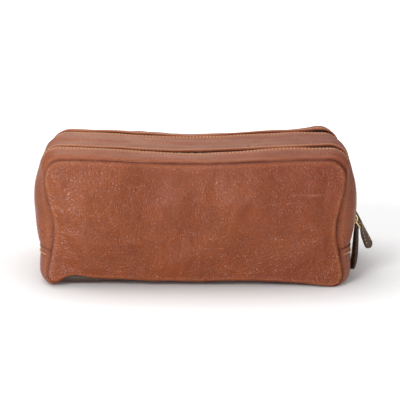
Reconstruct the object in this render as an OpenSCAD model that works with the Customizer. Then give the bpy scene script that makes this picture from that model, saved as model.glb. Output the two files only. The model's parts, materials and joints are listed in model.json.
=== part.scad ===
// Shaving kit bag: a soft leather wash bag with two zipped compartments.
// X runs along the bag, the front faces -Y, Z is up and the bag rests on z = 0.

/* [Bag] */
// Width over both zips at the fullest part of the ends
bag_w = 261; // [230:1:300]
// Depth between the front and back seam planes
bag_d = 120; // [110:1:140]
// Height at the raised top corners of the zips
bag_h = 110; // [104:1:125]
// Half-width lost between the zips and the front and back seams
seam_inset = 11; // [6:0.5:14]
// Extra draw-in of those seams at mid height
seam_waist = 6.5; // [2:0.5:9]
// How far the front and back panels belly out
panel_puff = 4; // [1:0.5:8]
// Extra swell of the ends on the centre line
end_swell = 2.5; // [0:0.5:4]
// Sag of the top between its corners
top_sag = 4.5; // [0:0.5:8]
// Height of the level seams on the ends
side_seam_z = 30; // [26:1:34]

/* [Leather and lining] */
// Thickness of the outer leather
leather_t = 2; // [1.6:0.1:2.4]
// Thickness of the cloth lining
lining_t = 0.7; // [0.5:0.1:0.9]
// Thickness of the base stiffener
board_t = 1.5; // [1:0.1:2]
// Thickness of the divider between the compartments
divider_t = 1.6; // [1.2:0.1:2.4]

/* [Zips] */
// Distance of each zip from the centre line
zip_y = 31; // [28:0.5:34]
// Gap between the leather lips of a zip
slot_w = 12; // [11.5:0.1:13]
// Width of the closed row of teeth
chain_w = 6.4; // [6:0.1:6.6]
// Distance from one tooth to the next in a row
tooth_pitch = 2.8; // [2.6:0.1:4]
// Thickness of a tooth
tooth_t = 2.6; // [2.2:0.1:2.8]
// Thickness of the zip tape
tape_t = 0.8; // [0.6:0.1:1]

/* [Pull] */
// Height of the slider on the right-hand end
slider_z = 49; // [48:1:60]
// Width of the leather strip of the pull
strip_w = 9; // [8:0.5:10]
// Length of the hanging tail of the pull
tail_len = 36; // [28:1:37]

/* [Hidden] */
$fn = 48;

// Colours
TAN = [0.60, 0.34, 0.21];
DARK_LEATHER = [0.20, 0.13, 0.10];
LINING = [0.24, 0.20, 0.17];
TAPE = [0.22, 0.15, 0.12];
BRASS = [0.80, 0.66, 0.38];
BOARD = [0.35, 0.33, 0.30];

// Clearances
seam_gap = 0.2;
layer_gap = 0.2;
slide_gap = 0.3;
pin_gap = 0.3;

// Skin: half profiles of the bag in the XZ plane
half_w = bag_w / 2;
side_r = 113;
bulge_z = 62;
corner_r = 16;
foot_r = 11;
foot_swell = 1.6;
side_cx = half_w - side_r;
top_angle = asin((bag_h - corner_r - bulge_z) / (side_r - corner_r));
low_angle = asin((side_seam_z - bulge_z) / side_r);
corner_cx = side_cx + (side_r - corner_r) * cos(top_angle);
corner_cz = bag_h - corner_r;
side_low_x = side_cx + side_r * cos(low_angle);

// Lengths along the zip line, which set where the top, corner and side meet
top_len = corner_cx;
corner_len = corner_r * (90 - top_angle) * PI / 180;
side_len = side_r * (top_angle - low_angle) * PI / 180;
run_len = top_len + corner_len + side_len;
s_top = top_len / run_len;
s_corner = (top_len + corner_len) / run_len;
foot_s = 0.86;
heel_s = 0.94;

// Front and back seams
seam_half_w = half_w - seam_inset;
seam_drop = 4.5;
seam_top_z = bag_h - seam_drop;
seam_sag_share = 0.7;
seam_corner_r = 15;
seam_foot_r = 9;
seam_floor_z = 2.5;
waist_z = 48;
waist_span = 42;

// Depth
band_half_d = bag_d / 2 - leather_t - seam_gap;
full_v = (zip_y + slot_w / 2 + 2) / band_half_d;
slot_v = (zip_y - slot_w / 2) / band_half_d;
lip_v = (zip_y + slot_w / 2) / band_half_d;
lining_v = 0.945;

// Layers, as depths below the outer skin
loose_gap = 0.4;
tape_n = leather_t + layer_gap;
chain_n = tape_n + tape_t / 2;
lining_n = tape_n + tape_t + loose_gap;
board_n = leather_t + loose_gap;
base_lining_n = board_n + board_t + layer_gap;
divider_n = base_lining_n + lining_t + layer_gap;

function mix(a, b, t) = a * (1 - t) + b * t;
function sag(x, reach) = top_sag * (1 + cos(180 * x / reach)) / 2;

// Upper half profile through the zips: s = 0 at the top centre, 1 at the side seam
function zip_top(s, n) =
    s <= s_top
        ? let (x = corner_cx * s / s_top) [x, bag_h - n - sag(x, corner_cx)]
        : s <= s_corner
            ? let (a = mix(90, top_angle, (s - s_top) / (s_corner - s_top)))
                [corner_cx + (corner_r - n) * cos(a), corner_cz + (corner_r - n) * sin(a)]
            : let (a = mix(top_angle, low_angle, (s - s_corner) / (1 - s_corner)))
                [side_cx + (side_r - n) * cos(a), bulge_z + (side_r - n) * sin(a)];

function waist(z) = abs(z - waist_z) < waist_span
    ? seam_waist * pow(cos(90 * (z - waist_z) / waist_span), 2) : 0;

// Upper half profile along the front and back seams
function seam_top(s, n) =
    let (reach = seam_half_w - seam_corner_r, shoulder = seam_top_z - seam_corner_r)
    s <= s_top
        ? let (x = reach * s / s_top) [x, seam_top_z - n - sag(x, reach) * seam_sag_share]
        : s <= s_corner
            ? let (a = mix(90, 0, (s - s_top) / (s_corner - s_top)))
                [reach + (seam_corner_r - n) * cos(a), shoulder + (seam_corner_r - n) * sin(a)]
            : let (z = mix(shoulder, side_seam_z, (s - s_corner) / (1 - s_corner)))
                [seam_half_w - n - waist(z), z];

// Lower half profiles: s = 0 at the bottom centre, 1 at the side seam
function zip_base(s, n) =
    let (cx = side_low_x + foot_swell - foot_r)
    s <= foot_s
        ? [cx * s / foot_s, n]
        : s <= heel_s
            ? let (a = mix(-90, 0, (s - foot_s) / (heel_s - foot_s)))
                [cx + (foot_r - n) * cos(a), foot_r + (foot_r - n) * sin(a)]
            : let (t = (s - heel_s) / (1 - heel_s))
                [side_low_x - n + foot_swell * cos(90 * t), mix(foot_r, side_seam_z, t)];

function seam_base(s, n) =
    let (cz = seam_floor_z + seam_foot_r, cx = seam_half_w - waist(cz) - seam_foot_r)
    s <= foot_s
        ? [cx * s / foot_s, seam_floor_z + n]
        : s <= heel_s
            ? let (a = mix(-90, 0, (s - foot_s) / (heel_s - foot_s)))
                [cx + (seam_foot_r - n) * cos(a), cz + (seam_foot_r - n) * sin(a)]
            : let (z = mix(cz, side_seam_z, (s - heel_s) / (1 - heel_s)))
                [seam_half_w - n - waist(z), z];

// Share of the zip profile at depth v, where v = -1 is the front seam and 1 the back seam
function fullness(v) = abs(v) <= full_v ? 1 : 1 - pow((abs(v) - full_v) / (1 - full_v), 2.2);
function swell(v) = abs(v) < slot_v ? 1 + end_swell / half_w * (1 - pow(v / slot_v, 2)) : 1;

// The skin at depth n: q = -1 left side seam, 0 top centre, 1 right side seam, 2 bottom centre
function skin(q, v, n) =
    let (low = q > 1, side = low ? sign(2 - q) : sign(q), s = low ? 1 - abs(1 - abs(2 - q)) : abs(q))
    let (a = low ? seam_base(s, n) : seam_top(s, n), b = low ? zip_base(s, n) : zip_top(s, n))
    let (p = mix(a, b, fullness(v)))
    [side * p[0] * swell(v), v * band_half_d, p[1]];

// Stations along the skin: few on the flats, more round the corners
function span(a, b, count) = [for (i = [1 : count]) mix(a, b, i / count)];
HALF_TOP = concat(span(0, s_top, 5), span(s_top, s_corner, 4), span(s_corner, 1, 8));
HALF_BASE = concat(span(0, foot_s, 3), span(foot_s, heel_s, 4), span(heel_s, 1, 3));
function flipped(list) = [for (i = [len(list) - 1 : -1 : 0]) list[i]];
TOP_Q = concat([for (s = flipped(HALF_TOP)) -s], [0], HALF_TOP);
BASE_Q = concat([for (s = flipped(HALF_BASE)) 2 - s], [2], [for (s = HALF_BASE) 2 + s]);
function steps(a, b, count) = [for (i = [0 : count]) mix(a, b, i / count)];
function pick(list, first, last) = [for (i = [first : last]) list[i]];
function inner(list) = pick(list, 1, len(list) - 2);
LOOP_Q = concat(TOP_Q, inner(BASE_Q));

// Depth stations of the top strips. The tapes and linings share them, so that the layers nest.
FRONT_V = steps(-1, -lip_v, 5);
CENTRE_V = steps(-slot_v, slot_v, 6);

// A closed sheet between depths n0 and n1 over the stations qs and vs
module sheet(qs, vs, n0, n1) {
    rows = len(qs);
    cols = len(vs);
    layer = rows * cols;
    points = [for (n = [n0, n1]) for (q = qs) for (v = vs) skin(q, v, n)];
    function quad(a, b, c, d) = [[a, b, c], [a, c, d]];
    function at(i, j, k) = k * layer + i * cols + j;
    outer = [for (i = [0 : rows - 2]) for (j = [0 : cols - 2])
        for (f = quad(at(i, j, 0), at(i, j + 1, 0), at(i + 1, j + 1, 0), at(i + 1, j, 0))) f];
    inner = [for (i = [0 : rows - 2]) for (j = [0 : cols - 2])
        for (f = quad(at(i, j, 1), at(i + 1, j, 1), at(i + 1, j + 1, 1), at(i, j + 1, 1))) f];
    ends = [for (i = [0, rows - 1]) for (j = [0 : cols - 2])
        for (f = i == 0
            ? quad(at(i, j, 0), at(i, j, 1), at(i, j + 1, 1), at(i, j + 1, 0))
            : quad(at(i, j, 0), at(i, j + 1, 0), at(i, j + 1, 1), at(i, j, 1))) f];
    edges = [for (j = [0, cols - 1]) for (i = [0 : rows - 2])
        for (f = j == 0
            ? quad(at(i, j, 0), at(i + 1, j, 0), at(i + 1, j, 1), at(i, j, 1))
            : quad(at(i, j, 0), at(i, j, 1), at(i + 1, j, 1), at(i + 1, j, 0))) f];
    polyhedron(points = points, faces = concat(outer, inner, ends, edges), convexity = 10);
}

// An upright plate with the bag's own outline at depth v, inset by n, from y0 to y0 + thick
function outline(v, n) = [for (q = LOOP_Q) let (p = skin(q, v, n)) [p[0], p[2]]];
module upright(y0, thick) {
    translate([0, y0 + thick, 0]) rotate([90, 0, 0]) linear_extrude(height = thick) children();
}

// Leather panels: a flat rim that meets the strips, bellied out to the centre
module bellied_panel() {
    rings = 5;
    rim = outline(-1, 0);
    count = len(rim);
    middle_z = bag_h / 2;
    outer_y = -bag_d / 2;
    function belly(f) = -panel_puff * (1 - pow(f, 3));
    function ring_point(k, i, y) = let (f = 1 - k / rings)
        [rim[i][0] * f, y + belly(f), mix(middle_z, rim[i][1], f)];
    function next(i) = (i + 1) % count;
    function at(side, k, i) = (side * rings + k) * count + i;
    centre = 2 * rings * count;
    points = concat(
        [for (y = [outer_y, outer_y + leather_t]) for (k = [0 : rings - 1]) for (i = [0 : count - 1])
            ring_point(k, i, y)],
        [[0, outer_y + belly(0), middle_z], [0, outer_y + leather_t + belly(0), middle_z]]);
    front = [for (k = [0 : rings - 2]) for (i = [0 : count - 1]) for (f = [
        [at(0, k, i), at(0, k, next(i)), at(0, k + 1, next(i))],
        [at(0, k, i), at(0, k + 1, next(i)), at(0, k + 1, i)]]) f];
    rear = [for (k = [0 : rings - 2]) for (i = [0 : count - 1]) for (f = [
        [at(1, k, i), at(1, k + 1, next(i)), at(1, k, next(i))],
        [at(1, k, i), at(1, k + 1, i), at(1, k + 1, next(i))]]) f];
    caps = [for (i = [0 : count - 1]) for (f = [
        [at(0, rings - 1, i), at(0, rings - 1, next(i)), centre],
        [at(1, rings - 1, next(i)), at(1, rings - 1, i), centre + 1]]) f];
    edge = [for (i = [0 : count - 1]) for (f = [
        [at(0, 0, i), at(1, 0, next(i)), at(0, 0, next(i))],
        [at(0, 0, i), at(1, 0, i), at(1, 0, next(i))]]) f];
    polyhedron(points = points, faces = concat(front, rear, caps, edge), convexity = 6);
}

module front_panel() {
    color(TAN) bellied_panel();
}

module back_panel() {
    color(TAN) mirror([0, 1, 0]) bellied_panel();
}

// Leather strips over the top and down both ends
gap_q = seam_gap / run_len;
STRIP_Q = concat([gap_q - 1], inner(TOP_Q), [1 - gap_q]);

module zip_strip() {
    sheet(STRIP_Q, FRONT_V, 0, leather_t);
}

module front_zip_strip() {
    color(TAN) zip_strip();
}

module back_zip_strip() {
    color(TAN) mirror([0, 1, 0]) zip_strip();
}

module centre_strip() {
    color(TAN) sheet(STRIP_Q, CENTRE_V, 0, leather_t);
}

module base_band() {
    color(TAN) sheet(BASE_Q, steps(-1, 1, 10), 0, leather_t);
}

// Inside of the bag
board_reach = 1 - foot_s * 0.96;
module base_board() {
    color(BOARD) sheet(span(1 + board_reach, 3 - board_reach, 6), steps(-0.78, 0.78, 4),
        board_n, board_n + board_t);
}

module divider() {
    color(LINING) upright(-divider_t / 2, divider_t) polygon(outline(0, divider_n));
}

lining_back = 3;
centre_lining_v = (zip_y - slot_w / 2 - lining_back) / band_half_d;
panel_lining_y = -bag_d / 2 + leather_t + loose_gap;
divider_v = (divider_t / 2 + layer_gap) / band_half_d;

module panel_lining() {
    color(LINING) upright(panel_lining_y, lining_t) polygon(outline(-1, base_lining_n));
}

module front_panel_lining() {
    panel_lining();
}

module back_panel_lining() {
    mirror([0, 1, 0]) panel_lining();
}

module base_lining() {
    color(LINING) sheet(BASE_Q, steps(-lining_v, -divider_v, 5),
        base_lining_n, base_lining_n + lining_t);
}

module front_base_lining() {
    base_lining();
}

module back_base_lining() {
    mirror([0, 1, 0]) base_lining();
}

module strip_lining() {
    color(LINING) sheet(STRIP_Q, pick(FRONT_V, 1, 4), lining_n, lining_n + lining_t);
}

module front_strip_lining() {
    strip_lining();
}

module back_strip_lining() {
    mirror([0, 1, 0]) strip_lining();
}

module centre_strip_lining() {
    color(LINING) sheet(STRIP_Q, concat([-centre_lining_v], inner(CENTRE_V), [centre_lining_v]),
        lining_n, lining_n + lining_t);
}

// Binding tape over the raw edges of the front and back seams
binding_w = 1.4;
binding_deep = 1.2;
binding_back = 1.7;
module seam_binding() {
    color(TAPE) upright(-band_half_d + binding_back, binding_w) difference() {
        polygon(outline(-1, tape_n));
        polygon(outline(-1, tape_n + binding_deep));
    }
}

module front_seam_binding() {
    seam_binding();
}

module back_seam_binding() {
    mirror([0, 1, 0]) seam_binding();
}

// Zips. Each is drawn at the front and mirrored to the back; "outer" is the side nearer the panel.
zip_v = zip_y / band_half_d;
row_half = chain_w / 2;
tape_edge = row_half + 0.1;
tape_end_q = 0.99;
function q_at(z) = s_corner + (1 - s_corner)
    * (top_angle - asin((z - bulge_z) / side_r)) / (top_angle - low_angle);
TAPE_Q = concat([-tape_end_q], inner(TOP_Q), [tape_end_q]);

// The outer tape reaches under the front strip, the inner tape under the centre strip
module zip_tape(side) {
    near = (-zip_y + side * tape_edge) / band_half_d;
    vs = side < 0 ? concat(pick(FRONT_V, 3, 5), [near]) : concat([near], pick(CENTRE_V, 0, 1));
    color(TAPE) sheet(TAPE_Q, vs, tape_n, tape_n + tape_t);
}

// The chain runs level with the tape, and its ends stop short of the tape's
chain_end_z = 40;
open_from_z = 78;
chain_end_q = q_at(chain_end_z);
tooth_w = 1.7;
head_w = 1.1;
neck_y = 1.4;
post_t = 1;
meshed_tip = -0.4;
parted_tip = post_t / 2 + slide_gap;

module on_chain(q) {
    step = 0.002;
    p = skin(q, -zip_v, chain_n);
    t = skin(q + step, -zip_v, chain_n) - skin(q - step, -zip_v, chain_n);
    translate([p[0], -zip_y, p[2]]) rotate([0, -atan2(t[2], t[0]), 0]) children();
}

module tooth(tip) {
    translate([0, 0, -tooth_t / 2]) linear_extrude(height = tooth_t) polygon([
        [-tooth_w / 2, row_half], [-tooth_w / 2, neck_y], [-head_w / 2, tip + 0.3],
        [-head_w / 2 + 0.2, tip], [head_w / 2 - 0.2, tip], [head_w / 2, tip + 0.3],
        [tooth_w / 2, neck_y], [tooth_w / 2, row_half]]);
}

module tooth_row(side) {
    pitch_q = tooth_pitch / run_len;
    shift = side > 0 ? pitch_q / 2 : 0;
    count = floor((2 * chain_end_q - shift) / pitch_q);
    color(BRASS) for (k = [0 : count]) {
        q = -chain_end_q + shift + k * pitch_q;
        on_chain(q) mirror([0, side < 0 ? 1 : 0, 0])
            tooth(q < q_at(open_from_z) ? meshed_tip : parted_tip);
    }
}

stop_len = 2.4;
stop_q = (tooth_w / 2 + 0.3 + stop_len / 2) / run_len;
stop_t = tooth_t + 0.2;

module top_stops() {
    color(BRASS) for (side = [-1, 1]) on_chain(chain_end_q + tooth_pitch / run_len / 2 + stop_q)
        translate([-stop_len / 2, side * (row_half + parted_tip) / 2 - (row_half - parted_tip) / 2,
            -stop_t / 2])
            cube([stop_len, row_half - parted_tip, stop_t]);
}

module bottom_stop() {
    color(BRASS) on_chain(-chain_end_q - stop_q)
        translate([-stop_len / 2, -row_half, -stop_t / 2]) cube([stop_len, chain_w, stop_t]);
}

// Slider: two plates round the teeth, held together by the post that parts the rows.
// Its frame: x out of the bag, z up along the zip, origin on the skin.
slider_angle = asin((slider_z - bulge_z) / side_r);
plate_r = 4.6;
plate_t = 1.4;
plate_up = 6;
plate_low = -1;
top_plate_x = -(chain_n - tooth_t / 2 - slide_gap);
low_plate_x = -(chain_n + tooth_t / 2 + slide_gap + 0.15);
flange_t = 1;
arch_r = 4.2;
arch_t = 1;
arch_w = 2.4;
arch_x = -0.3;
arch_z = 0.5;
wire_r = 0.8;
pin_x = top_plate_x + plate_t + pin_gap + wire_r;
pin_z = -0.4;

module on_slider() {
    translate([side_cx, -zip_y, bulge_z]) rotate([0, -slider_angle, 0])
        translate([side_r, 0, 0]) children();
}

module slider_plate(x, thick) {
    translate([x, 0, 0]) rotate([90, 0, 90]) linear_extrude(height = thick) {
        translate([0, plate_low]) circle(r = plate_r);
        translate([-plate_r, plate_low]) square([2 * plate_r, plate_up - plate_low]);
    }
}

module slider_flange(x0, x1, side) {
    translate([x0, side * (plate_r - flange_t / 2) - flange_t / 2, plate_low])
        cube([x1 - x0, flange_t, plate_up - plate_low]);
}

module slider() {
    post_z = -4;
    post_h = 2.2;
    color(BRASS) on_slider() {
        slider_plate(top_plate_x, plate_t);
        slider_plate(low_plate_x - plate_t + 0.2, plate_t - 0.2);
        translate([low_plate_x - 0.2, -post_t / 2, post_z])
            cube([top_plate_x - low_plate_x + 0.4, post_t, post_h]);
        for (side = [-1, 1]) {
            slider_flange(-tape_n + slide_gap, top_plate_x + 0.2, side);
            slider_flange(low_plate_x - 0.2, -tape_n - tape_t - slide_gap, side);
        }
        translate([arch_x, arch_w / 2, arch_z]) rotate([90, 0, 0]) linear_extrude(height = arch_w)
            intersection() {
                difference() {
                    circle(r = arch_r);
                    circle(r = arch_r - arch_t);
                }
                translate([top_plate_x + plate_t - 0.2 - arch_x, -arch_r]) square([arch_r + 1, 2 * arch_r]);
            }
    }
}

// Pull ring: a rectangle of wire that swings in the slider's arch
ring_tilt = 55;
ring_len = 6.4;
ring_half = strip_w / 2 + pin_gap + wire_r;
pin = [side_cx + (side_r + pin_x) * cos(slider_angle) - pin_z * sin(slider_angle), -zip_y,
    bulge_z + (side_r + pin_x) * sin(slider_angle) + pin_z * cos(slider_angle)];
bar = pin + ring_len * [cos(ring_tilt), 0, -sin(ring_tilt)];

module pull_ring() {
    color(BRASS) translate(pin) rotate([0, ring_tilt, 0]) {
        for (x = [0, ring_len]) translate([x, ring_half, 0]) rotate([90, 0, 0])
            cylinder(r = wire_r, h = 2 * ring_half);
        for (side = [-1, 1]) translate([0, side * ring_half, 0]) {
            rotate([0, 90, 0]) cylinder(r = wire_r, h = ring_len);
            for (x = [0, ring_len]) translate([x, 0, 0]) sphere(r = wire_r);
        }
    }
}

// Leather pull: one strip folded round the lower bar, its tails hanging apart
strip_t = 2.6;
loop_t = 1.6;
loop_r = wire_r + pin_gap + loop_t;
HANGING = [[-0.9, -1.8], [-2.2, -10], [-2.6, -18], [-3.2, -26], [-4.8, -33], [-7, -38]];
SPLAYED = [[0.9, -1.8], [2.6, -7], [5, -13], [8, -19]];

module tail(path, length) {
    last = len(path) - 1;
    function along(i) = path[min(i + 1, last)] - path[max(i - 1, 0)];
    function across(i) = let (d = along(i)) [-d[1], d[0]] / norm(d) * strip_t / 2;
    grow = length / norm(path[last]);
    polygon(concat([for (i = [0 : last]) (path[i] + across(i)) * (i == 0 ? 1 : grow)],
        [for (i = [last : -1 : 0]) (path[i] - across(i)) * (i == 0 ? 1 : grow)]));
}

module leather_pull() {
    color(DARK_LEATHER) translate(bar) translate([0, strip_w / 2, 0]) rotate([90, 0, 0]) difference() {
        union() {
            cylinder(r = loop_r, h = strip_w);
            linear_extrude(height = strip_w) tail(HANGING, tail_len + 2.6);
            linear_extrude(height = strip_w) tail(SPLAYED, norm(SPLAYED[3]));
        }
        translate([0, 0, -1]) cylinder(r = wire_r + pin_gap, h = strip_w + 2);
    }
}

module mirrored() {
    mirror([0, 1, 0]) children();
}

module front_zip_outer_tape() {
    zip_tape(-1);
}

module front_zip_inner_tape() {
    zip_tape(1);
}

module front_zip_outer_teeth() {
    tooth_row(-1);
}

module front_zip_inner_teeth() {
    tooth_row(1);
}

module front_zip_top_stops() {
    top_stops();
}

module front_zip_bottom_stop() {
    bottom_stop();
}

module front_slider() {
    slider();
}

module front_pull_ring() {
    pull_ring();
}

module front_leather_pull() {
    leather_pull();
}

module back_zip_outer_tape() {
    mirrored() zip_tape(-1);
}

module back_zip_inner_tape() {
    mirrored() zip_tape(1);
}

module back_zip_outer_teeth() {
    mirrored() tooth_row(-1);
}

module back_zip_inner_teeth() {
    mirrored() tooth_row(1);
}

module back_zip_top_stops() {
    mirrored() top_stops();
}

module back_zip_bottom_stop() {
    mirrored() bottom_stop();
}

module back_slider() {
    mirrored() slider();
}

module back_pull_ring() {
    mirrored() pull_ring();
}

module back_leather_pull() {
    mirrored() leather_pull();
}

front_panel();
back_panel();
front_zip_strip();
centre_strip();
back_zip_strip();
base_band();
base_board();
divider();
front_panel_lining();
back_panel_lining();
front_base_lining();
back_base_lining();
front_strip_lining();
centre_strip_lining();
back_strip_lining();
front_seam_binding();
back_seam_binding();
front_zip_outer_tape();
front_zip_inner_tape();
front_zip_outer_teeth();
front_zip_inner_teeth();
front_zip_top_stops();
front_zip_bottom_stop();
front_slider();
front_pull_ring();
front_leather_pull();
back_zip_outer_tape();
back_zip_inner_tape();
back_zip_outer_teeth();
back_zip_inner_teeth();
back_zip_top_stops();
back_zip_bottom_stop();
back_slider();
back_pull_ring();
back_leather_pull();
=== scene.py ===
"""Looks of a two-zip leather shaving kit bag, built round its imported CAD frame."""
import json
import logging
import math
from dataclasses import dataclass, field
from enum import Enum
from typing import Any, Callable, Iterable, Sequence

import bmesh
import bpy
import numpy as np
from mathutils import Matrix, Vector, noise


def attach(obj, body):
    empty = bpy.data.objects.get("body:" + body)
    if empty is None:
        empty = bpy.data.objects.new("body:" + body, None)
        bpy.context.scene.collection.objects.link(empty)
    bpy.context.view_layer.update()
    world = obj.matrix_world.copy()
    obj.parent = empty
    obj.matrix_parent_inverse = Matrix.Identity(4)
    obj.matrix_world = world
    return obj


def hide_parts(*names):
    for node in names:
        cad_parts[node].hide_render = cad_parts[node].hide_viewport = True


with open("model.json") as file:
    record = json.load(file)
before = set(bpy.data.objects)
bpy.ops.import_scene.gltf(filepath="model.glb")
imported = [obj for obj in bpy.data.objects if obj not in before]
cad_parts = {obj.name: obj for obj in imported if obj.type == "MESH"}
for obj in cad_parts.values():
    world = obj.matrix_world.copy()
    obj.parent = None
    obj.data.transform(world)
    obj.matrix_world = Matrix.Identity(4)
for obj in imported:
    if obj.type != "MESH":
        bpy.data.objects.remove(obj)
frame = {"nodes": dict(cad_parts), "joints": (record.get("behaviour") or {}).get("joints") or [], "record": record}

logging.basicConfig(level=logging.INFO, format="%(message)s")
LOG = logging.getLogger("kit_bag")
MM = 0.001
STITCH_INSET = 2.3
STITCH_PITCH = 2.9
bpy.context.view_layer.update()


# ---------------------------------------------------------------- shader maths

class Wire:
    """A shader socket that takes part in Python arithmetic."""

    def __init__(self, finish: "Finish", socket: bpy.types.NodeSocket) -> None:
        """Keep the socket and the finish whose tree it belongs to.

        Args:
            finish: The finish that owns the node tree.
            socket: An output socket in that tree.
        """
        self.finish = finish
        self.socket = socket

    def _math(self, operation: str, *values: "Wire | float", clamp: bool = False) -> "Wire":
        """Add a Math node over the given values."""
        settings = {"operation": operation, "use_clamp": clamp}
        return self.finish.add("ShaderNodeMath", settings, dict(enumerate(values)))

    def __add__(self, other: "Wire | float") -> "Wire":
        """Return this value plus another."""
        return self._math("ADD", self, other)

    __radd__ = __add__

    def __sub__(self, other: "Wire | float") -> "Wire":
        """Return this value less another."""
        return self._math("SUBTRACT", self, other)

    def __mul__(self, other: "Wire | float") -> "Wire":
        """Return this value times another."""
        return self._math("MULTIPLY", self, other)

    __rmul__ = __mul__

    def clamped(self) -> "Wire":
        """Return this value held between 0 and 1."""
        return self._math("ADD", self, 0.0, clamp=True)

    def sine(self) -> "Wire":
        """Return the sine of this value."""
        return self._math("SINE", self)

    def larger(self, other: "Wire | float") -> "Wire":
        """Return the larger of this value and another."""
        return self._math("MAXIMUM", self, other)

Triple = tuple[float, float, float]
Colour = Triple

class Finish:
    """A procedural material; each kind of finish fills in its own nodes."""

    name = "finish"

    def __init__(self) -> None:
        """Make the tree with its shader, then fill it in."""
        self.tree, self.shader = self.start()
        self.paint()

    def start(self) -> tuple[bpy.types.NodeTree, bpy.types.Node]:
        """Make the material and return its emptied tree with a new shader."""
        self.material = bpy.data.materials.new(self.name)
        self.material.use_nodes = True
        tree = self.material.node_tree
        tree.nodes.clear()
        shader = tree.nodes.new("ShaderNodeBsdfPrincipled")
        output = tree.nodes.new("ShaderNodeOutputMaterial")
        tree.links.new(shader.outputs[0], output.inputs[0])
        return tree, shader

    def paint(self) -> None:
        """Fill in the nodes of this finish."""
        raise NotImplementedError

    def add(self, kind: str, settings: dict[str, Any] | None = None,
            values: dict[Any, Any] | None = None, out: int | str = 0) -> Wire:
        """Add one node.

        Args:
            kind: The node's type.
            settings: Its own properties, and "stops" for a colour ramp.
            values: Socket name or index to a value or a Wire.
            out: The output to return.

        Returns:
            The chosen output.
        """
        node = self.tree.nodes.new(kind)
        for key, value in (settings or {}).items():
            if key == "stops":
                self._set_stops(node.color_ramp, value)
            else:
                setattr(node, key, value)
        for key, value in (values or {}).items():
            self.join(node.inputs[key], value)
        return Wire(self, node.outputs[out])

    def _set_stops(self, ramp: bpy.types.ColorRamp, stops: Sequence[tuple[float, float]]) -> None:
        """Give a ramp its grey stops as (position, level) pairs."""
        while len(ramp.elements) < len(stops):
            ramp.elements.new(0.5)
        for element, (place, level) in zip(ramp.elements, stops):
            element.position = place
            element.color = (level, level, level, 1.0)

    def join(self, socket: bpy.types.NodeSocket, value: Any) -> None:
        """Link a Wire to a socket, or set the socket's own value."""
        if isinstance(value, Wire):
            self.tree.links.new(value.socket, socket)
        elif socket.type == "RGBA":
            socket.default_value = (*value[:3], 1.0)
        else:
            socket.default_value = value

    def set(self, **values: Any) -> None:
        """Set the shader's sockets, with underscores for spaces in their names."""
        for key, value in values.items():
            self.join(self.shader.inputs[key.replace("_", " ")], value)

    def place(self, scale: Sequence[float] = (1.0, 1.0, 1.0),
              turn: Sequence[float] = (0.0, 0.0, 0.0),
              shift: Sequence[float] = (0.0, 0.0, 0.0)) -> Wire:
        """Return object coordinates, scaled, turned and shifted."""
        coords = self.add("ShaderNodeTexCoord", out="Object")
        return self.add("ShaderNodeMapping", None, {"Vector": coords, "Location": shift,
                                                    "Rotation": turn, "Scale": scale})

    def axis(self, vector: Wire, name: str) -> Wire:
        """Return one coordinate of a vector."""
        return self.add("ShaderNodeSeparateXYZ", None, {0: vector}, name)

    def attribute(self, name: str) -> Wire:
        """Return a number from 0 to 1 that the mesh stores on its points."""
        return self.add("ShaderNodeAttribute", {"attribute_name": name}, out="Fac").clamped()

    def clouds(self, vector: Wire, scale: float, detail: float = 3.0, rough: float = 0.5,
               warp: float = 0.0, out: int | str = 0) -> Wire:
        """Return fractal noise from 0 to 1, or three channels of it as Color."""
        return self.add("ShaderNodeTexNoise", None,
                        {"Vector": vector, "Scale": scale, "Detail": detail,
                         "Roughness": rough, "Distortion": warp}, out)

    def cells(self, vector: Wire, scale: float) -> Wire:
        """Return the distance to the nearest edge of a cell pattern."""
        return self.add("ShaderNodeTexVoronoi", {"feature": "DISTANCE_TO_EDGE"},
                        {"Vector": vector, "Scale": scale})

    def vector_math(self, operation: str, first: Wire, second: Wire | Sequence[float]) -> Wire:
        """Combine two vectors."""
        return self.add("ShaderNodeVectorMath", {"operation": operation}, {0: first, 1: second})

    def warped(self, vector: Wire, scale: float, amount: float) -> Wire:
        """Return coordinates pushed about by noise."""
        push = self.clouds(vector, scale, 2.0, out="Color")
        centred = self.vector_math("SUBTRACT", push, (0.5, 0.5, 0.5))
        scaled = self.vector_math("MULTIPLY", centred, (amount, amount, amount))
        return self.vector_math("ADD", vector, scaled)

    def ramp(self, value: Wire, *stops: tuple[float, float]) -> Wire:
        """Return a value passed through grey stops."""
        return self.add("ShaderNodeValToRGB", {"stops": stops}, {"Fac": value})

    def blend(self, share: Wire | float, first: Wire | Colour, second: Wire | Colour) -> Wire:
        """Mix two colours by a share from 0 to 1."""
        return self.add("ShaderNodeMix", {"data_type": "RGBA"}, {0: share, 6: first, 7: second}, 2)

    def bump(self, height: Wire, depth_mm: float, strength: float = 1.0,
             under: Wire | None = None) -> Wire:
        """Return a normal from a height field whose full range is depth_mm."""
        values = {"Height": height, "Distance": depth_mm * MM, "Strength": strength}
        if under is not None:
            values["Normal"] = under
        return self.add("ShaderNodeBump", None, values)

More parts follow.
